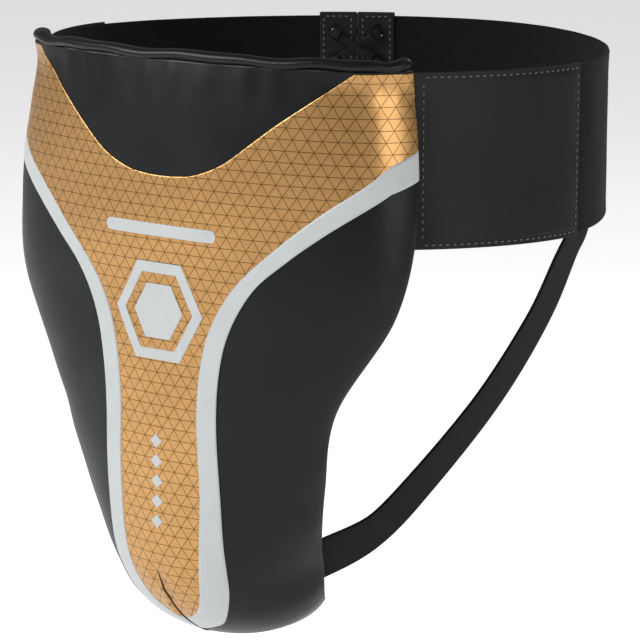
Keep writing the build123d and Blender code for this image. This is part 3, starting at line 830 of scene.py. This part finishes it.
# %% [markdown]
# The elastic comes in two halves, from behind each side of the guard to the lacing. Each is one grid with
# very small waves, 1.8 mm thick, and its front edge follows the guard's rim, where it is sewn.

# %% Elastic
PATCH_LENGTH, ELASTIC_THICK, TAB_SKIN = 88, 1.8, 1.1


def strip_on_waist(name, start, end, out, low, high, across, finish, ruffle=None, tuck=None):
    """A band on the waist from start to end, `out` from the line, as one grid."""
    def put(u, v):
        first = start - (tuck(low + (high - low) * v) if tuck else 0.0) * (1 if end > start else -1)
        along = first + (end - first) * u
        extra = ruffle(along, v) if ruffle else 0.0
        return on_waist(along, out + extra, low + (high - low) * v)

    piece = bent_grid(name, max(4, round(abs(end - start) / 2)), across, put, finish,
                      lambda u, v: (u * abs(end - start), v * (high - low)))
    if start > end:
        flip(piece)
    return piece


def band_start():
    """Where the CAD band starts, as a distance round the waist."""
    front_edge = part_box("waist_elastic_left")[0][1]

    def too_far_forward(along):
        return min(on_waist(along).y, on_waist(along, -ELASTIC_THICK).y) < front_edge

    return turning_point(0.0, ROUND / 3, too_far_forward)


START = band_start()
SIDES = {"left": (START, 1), "right": (ROUND - START, -1)}
TAB_NEAR, TAB_FAR = 0.1, 20.8


def rim_gap(z):
    """How much further forward the guard's rim lies at height z: the band reaches it, to be sewn there."""
    k = k_below(BAND_TOP - z)
    rear = place(k, 0, smooth_row(SECTIONS, k)[3] + 1.5).y
    return START - turning_point(START - 30, START, lambda along: on_waist(along).y < rear, 20)


def gather(along, v):
    """Small waves where the elastic is sewn in, and a slightly curled top and bottom edge."""
    curl = 0.35 * (abs(2 * v - 1) ** 8)
    return curl + 0.15 * sin(along * 0.21) * sin(v * 7)


for side, (start, way) in SIDES.items():
    end = LACING - way * (TAB_FAR - 3)
    band = strip_on_waist(f"elastic_{side}", start, end, 0, BAND_LOW, BAND_TOP, 40, ELASTIC, gather, rim_gap)
    thicken(band, ELASTIC_THICK, -1, 0.5)
    print(side, "elastic is", round(abs(end - start)), "mm long")
    sewn_in(band, f"band_{side}", "elastic", f"waist_elastic_{side}")

# %% [markdown]
# A seam shows as a row of short rounded stitches, 3.4 mm apart. A dashed texture would look flat from
# the side, so each stitch is a small low ball, stretched along the seam. All the stitches of a piece are
# one mesh, and one stitch has only twenty faces, because there are hundreds.

# %% Stitches
def seam(name, spots, body, long_mm=2.2, wide_mm=0.9, high_mm=0.6):
    """One rounded stitch at each spot: (place, direction along the seam, direction out of the cloth)."""
    mesh = bmesh.new()
    for spot, ahead, out in spots:
        side = out.cross(ahead).normalized()
        up = ahead.cross(side).normalized()
        turn = Matrix((ahead.normalized(), side, up)).transposed().to_4x4()
        size = Matrix.Diagonal((long_mm / 2 * MM, wide_mm / 2 * MM, high_mm / 2 * MM, 1))
        bmesh.ops.create_icosphere(mesh, subdivisions=1, radius=1,
                                   matrix=Matrix.Translation(spot) @ turn @ size)
    for face in mesh.faces:
        face.smooth = True
    piece = new_piece(name, mesh, THREAD)
    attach(piece, body)
    print(name, len(spots), "stitches")


def waist_seam(first, last, out, z_first, z_last, pitch=3.4):
    """Stitch places in a straight line on the band."""
    length = ((last - first) ** 2 + (z_last - z_first) ** 2) ** 0.5
    count = max(2, round(length / pitch))
    spots = []
    for i in range(count):
        share, after = (i + 0.5) / count, (i + 0.6) / count
        here = on_waist(first + (last - first) * share, out, z_first + (z_last - z_first) * share)
        there = on_waist(first + (last - first) * after, out, z_first + (z_last - z_first) * after)
        face = on_waist(first + (last - first) * share, out + 1, z_first + (z_last - z_first) * share) - here
        spots.append((here, there - here, face))
    return spots


# %% [markdown]
# A patch of smooth leatherette covers the elastic beside the guard. Its seam runs two millimetres inside
# all four edges and pulls the patch down a little, which shows as a soft groove.

# %% Hip patches
PATCH_OUT, PATCH_THICK, PATCH_OVER, SEAM_INSIDE = 1.5, 1.25, 1, 2.2
PATCH_SEAM_OUT, PATCH_SEAM_HIGH, PATCH_SEAM_SIDE = 1.35, 38.8, 36.5
PATCH_HIGH = BAND_TOP - BAND_LOW + 2 * PATCH_OVER

for side, (start, way) in SIDES.items():
    end = start + way * PATCH_LENGTH

    def dimple(along, v):
        """The seam pulls the patch down a little along its edges."""
        near = min(abs(along - start), abs(along - end), v * PATCH_HIGH, (1 - v) * PATCH_HIGH)
        return -0.45 * bump(near, SEAM_INSIDE, 2.2) - 0.25 * bump(near, 0, 1.0)

    patch = strip_on_waist(f"patch_{side}", start, end, PATCH_OUT, BAND_LOW - PATCH_OVER,
                           BAND_TOP + PATCH_OVER, 82, PATCH, dimple, rim_gap)
    thicken(patch, PATCH_THICK, -1, 0.35)
    sewn_in(patch, f"band_{side}", "patch_leatherette", f"hip_patch_{side}")
    inside = [start + way * SEAM_INSIDE, end - way * SEAM_INSIDE]
    rows = []
    for z in (PATCH_SEAM_HIGH, -PATCH_SEAM_HIGH):
        rows += waist_seam(*inside, PATCH_SEAM_OUT, z, z)
    for along in inside:
        rows += waist_seam(along, along, PATCH_SEAM_OUT, -PATCH_SEAM_SIDE, PATCH_SEAM_SIDE)
    seam(f"patch_seam_{side}", rows, f"band_{side}")

# %% [markdown]
# Each end of the elastic is folded into a leatherette tab with four enamelled eyelets. The tab is one
# thick grid with rounded edges, and its holes are cut right through it with a boolean, which is safe here
# because the tab is a simple closed block.

# %% Lacing tabs
def cut_holes(piece, spots, radius_mm):
    """Cut a round hole through the piece at each spot, with a boolean, and keep the result as the mesh."""
    mesh = bmesh.new()
    for spot, out in spots:
        turn = out.to_track_quat("Z", "Y").to_matrix().to_4x4()
        bmesh.ops.create_cone(mesh, cap_ends=True, segments=28, radius1=radius_mm * MM,
                              radius2=radius_mm * MM, depth=0.02, matrix=Matrix.Translation(spot) @ turn)
    cutter = new_piece("hole_cutter", mesh, PATCH)
    cut = piece.modifiers.new("holes", "BOOLEAN")
    cut.operation, cut.object, cut.solver = "DIFFERENCE", cutter, "EXACT"
    bpy.context.view_layer.update()
    done = bpy.data.meshes.new_from_object(piece.evaluated_get(bpy.context.evaluated_depsgraph_get()))
    piece.modifiers.clear()
    piece.data = done
    bpy.data.objects.remove(cutter)


EYELET_BACK, EYELET_FIRST, EYELET_PITCH, HOLE_RADIUS = 12, 9, 15.5, 3.3
TAB_OVER, TAB_SEAMS, TAB_SEAM_END = 2, (3.2, 18.6), 39.5
ROWS = [BAND_TOP - EYELET_FIRST - EYELET_PITCH * row for row in range(4)]
for side, (_, way) in SIDES.items():
    near, far = LACING - way * TAB_NEAR, LACING - way * TAB_FAR
    tab = strip_on_waist(f"tab_{side}", far, near, TAB_SKIN, BAND_LOW - TAB_OVER, BAND_TOP + TAB_OVER, 30,
                         PATCH)
    thicken(tab, ELASTIC_THICK + 2 * TAB_SKIN, -1, 0.8)
    hole_at = LACING - way * EYELET_BACK
    holes = [(on_waist(hole_at, -0.9, z), on_waist(hole_at, 1, z) - on_waist(hole_at, 0, z)) for z in ROWS]
    cut_holes(tab, holes, HOLE_RADIUS)
    sewn_in(tab, f"band_{side}", "patch_leatherette", f"lacing_tab_{side}")
    rows = []
    for out in (TAB_SKIN + 0.05, -ELASTIC_THICK - TAB_SKIN - 0.05):
        for back in TAB_SEAMS:
            rows += waist_seam(LACING - way * back, LACING - way * back, out, -TAB_SEAM_END, TAB_SEAM_END)
        rows += waist_seam(LACING - way * 4, LACING - way * 18, out, 39.8, 39.8)
    seam(f"tab_seam_{side}", rows, f"band_{side}")

# %% [markdown]
# The lace is a flat braid, drawn here as narrow strips that bow a little between the eyelets: a bar at
# the top, crossings in turn inside and outside, and a knot with two tails at the bottom. Each strip is a
# grid rolled into a flat tube. The lace is cut in two at the middle of the lacing.

# %% Lace
def eyelet_spot(side, row, out):
    return on_waist(LACING - SIDES[side][1] * EYELET_BACK, out, ROWS[row])


LACE_LIFT, LACE_WIDE, LACE_THICK, TAIL_SIDE = 2.4, 4.6, 1.1, 7
TAB_MIDDLE = -ELASTIC_THICK / 2
OUTSIDE, INSIDE = TAB_SKIN + LACE_LIFT, -ELASTIC_THICK - TAB_SKIN - LACE_LIFT
FACE = (on_waist(LACING, 1) - on_waist(LACING, 0)).normalized()
ALONG = (on_waist(LACING + 1) - on_waist(LACING - 1)).normalized()


def lace_strip(mesh, spots, steps, wide=LACE_WIDE, thick=LACE_THICK):
    """A flat strip with rounded edges through a few places, added to the mesh."""
    def line(v):
        return Vector(smooth_row([tuple(p) for p in spots], v * (len(spots) - 1)))

    made = bmesh.ops.create_grid(mesh, x_segments=12, y_segments=steps, size=0.5)["verts"]
    shares = [(vert, vert.co.x + 0.5, vert.co.y + 0.5) for vert in made]
    layer = mesh.loops.layers.uv["cloth_mm"]
    length = sum((line((i + 1) / steps) - line(i / steps)).length for i in range(steps)) / MM
    for vert, u, v in shares:
        for loop in vert.link_loops:
            loop[layer].uv = v * length, u * 10
    for vert, u, v in shares:
        here = line(v)
        ahead = (line(min(v + 0.01, 1)) - line(max(v - 0.01, 0))).normalized()
        side = FACE.cross(ahead)
        side = side.normalized() if side.length > 0.05 else ALONG
        up = ahead.cross(side).normalized()
        turn = u * tau
        vert.co = here + (side * cos(turn) * wide / 2 + up * (1 if sin(turn) > 0 else -1) *
                          abs(sin(turn)) ** 0.55 * thick / 2) * MM


lace_mesh = bmesh.new()
lace_mesh.loops.layers.uv.new("cloth_mm")


def lace_run(side_a, row_a, side_b, row_b, face, over=0.0):
    """From one eyelet over the tab to another, on the outside (1) or the inside (-1)."""
    level = OUTSIDE if face > 0 else INSIDE
    lift = face * over
    a_in, b_in = eyelet_spot(side_a, row_a, TAB_MIDDLE), eyelet_spot(side_b, row_b, TAB_MIDDLE)
    a, b = eyelet_spot(side_a, row_a, level + lift * 0.6), eyelet_spot(side_b, row_b, level + lift * 0.6)
    middle = on_waist(LACING, level + lift + face * 0.2, (a.z + b.z) / 2 / MM)
    first, last = a.lerp(b, 0.12), a.lerp(b, 0.88)
    lace_strip(lace_mesh, [first, middle, last], 24)
    for inner, outer, near in ((a_in, a, first), (b_in, b, last)):
        lace_strip(lace_mesh, [inner, inner.lerp(outer, 0.75), outer.lerp(near, 0.9)], 12, 4.9, 3.0)


lace_run("left", 0, "right", 0, 1)
for row in range(3):
    face = -1 if row % 2 == 0 else 1
    lace_run("left", row, "right", row + 1, face)
    lace_run("right", row, "left", row + 1, face, 1.4)
KNOT = on_waist(LACING, OUTSIDE + 1.2, BAND_TOP - EYELET_FIRST - 3.8 * EYELET_PITCH)
for side, (_, way) in SIDES.items():
    start = eyelet_spot(side, 3, OUTSIDE)
    lace_strip(lace_mesh, [eyelet_spot(side, 3, TAB_MIDDLE), start, start.lerp(KNOT, 0.5), KNOT], 20)
    tail = on_waist(LACING - way * TAIL_SIDE, OUTSIDE + LACE_THICK / 2, BAND_LOW + 3)
    bow = KNOT.lerp(tail, 0.5) + FACE * 0.0008
    lace_strip(lace_mesh, [KNOT, bow, tail], 18)
bmesh.ops.remove_doubles(lace_mesh, verts=lace_mesh.verts, dist=0.00002)
knot_verts = bmesh.ops.create_uvsphere(lace_mesh, u_segments=24, v_segments=14, radius=1,
                                       matrix=Matrix.Translation(KNOT) @
                                       Matrix.Diagonal((0.0042, 0.0034, 0.0034, 1)))
for vert in knot_verts["verts"]:
    away = vert.co - KNOT
    vert.co += away * 0.16 * sin(atan2(away.z, away.dot(ALONG)) * 3 + away.dot(FACE) * 900)
for face in lace_mesh.faces:
    face.smooth = True
bmesh.ops.recalc_face_normals(lace_mesh, faces=lace_mesh.faces)
lace_whole = bpy.data.meshes.new("lace_whole")
lace_mesh.to_mesh(lace_whole)
lace_mesh.free()
for side, (_, way) in SIDES.items():
    half = bmesh.new()
    half.from_mesh(lace_whole)
    bmesh.ops.bisect_plane(half, geom=half.verts[:] + half.edges[:] + half.faces[:], dist=1e-6,
                           plane_co=on_waist(LACING), plane_no=ALONG * way, clear_outer=True)
    piece = new_piece(f"lace_{side}", half, LACE)
    on_waist(LACING - way * 2, 1)
    on_waist(LACING - way * 11, 1)
    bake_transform(piece)
    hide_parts("lace")
    print(piece.name, len(piece.data.polygons), "faces")

# %% [markdown]
# The leg straps are narrow woven elastic. Each leaves the inside of the band behind the patch, hangs round
# the leg, and is sewn behind the guard's rim near the bottom. Its width turns as it goes round, so a curve
# with a flat profile would twist where it likes: a grid whose cross direction turns from the waist's line
# to the rim's line keeps the strap as it hangs.

# %% Leg straps
STRAP_ROUTE = [(141, -4, 14), (127, -6, 46), (104, -14, 88), (79, -33, 129), (63, -53, 154)]


def rim_point(k, back):
    half, edge, _, rim = smooth_row(SECTIONS, k)[2:]
    return place(k, half - rim / 2, edge + back)


STRAP_WIDTH, STRAP_THICK, STRAP_LENGTH, STRAP_AFTER_PATCH, STRAP_END = 25, 1.5, 300, 14, 252
SEAT_DEPTH, SEAT_LENGTH, STRAP_BEHIND_RIM = -4.8, 22, 4.0
STRAP_ALONG = START + PATCH_LENGTH + STRAP_AFTER_PATCH
seat = [on_waist(STRAP_ALONG, SEAT_DEPTH, BAND_LOW + SEAT_LENGTH * share) for share in (1, 0.5, 0)]
hang = [Vector((x, y, BAND_LOW - drop)) * MM for x, y, drop in STRAP_ROUTE]
end_k = round(k_below(STRAP_END) * 4) / 4
strap_spots = [tuple(p) for p in seat + hang + [rim_point(end_k, STRAP_BEHIND_RIM)]]
top_way = (on_waist(STRAP_ALONG + 1) - on_waist(STRAP_ALONG - 1)).normalized()
low_way = (rim_point(end_k + 0.5, 0) - rim_point(end_k - 0.5, 0)).normalized()


def strap_place(u, v):
    last = len(strap_spots) - 1
    here = Vector(smooth_row(strap_spots, v * last))
    ahead = (Vector(smooth_row(strap_spots, min(v + 0.01, 1) * last)) -
             Vector(smooth_row(strap_spots, max(v - 0.01, 0) * last))).normalized()
    turn = max(0.0, (v - 0.1) / 0.9)
    across = top_way * (1 - turn) + low_way * turn
    across = (across - ahead * across.dot(ahead)).normalized()
    up = ahead.cross(across)
    cup = 0.25 * (2 * u - 1) ** 2 * sin(v * pi)
    return here + (across * (u - 0.5) * STRAP_WIDTH - up * cup) * MM


for side, way in (("left", 1), ("right", -1)):
    def put(u, v):
        spot = strap_place(u, v)
        return Vector((way * spot.x, spot.y, spot.z))

    strap = bent_grid(f"strap_{side}", 16, 150, put, STRAP, lambda u, v: (v * STRAP_LENGTH, u * STRAP_WIDTH))
    if way > 0:
        flip(strap)
    thicken(strap, STRAP_THICK, 0, 0.35)
    low_end, high_end = put(0.5, 1), put(0.5, 0.28)
    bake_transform(strap)
    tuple(low_end)
    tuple(high_end)
    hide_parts(f"leg_strap_{side}")
    print(strap.name, len(strap.data.polygons), "faces")
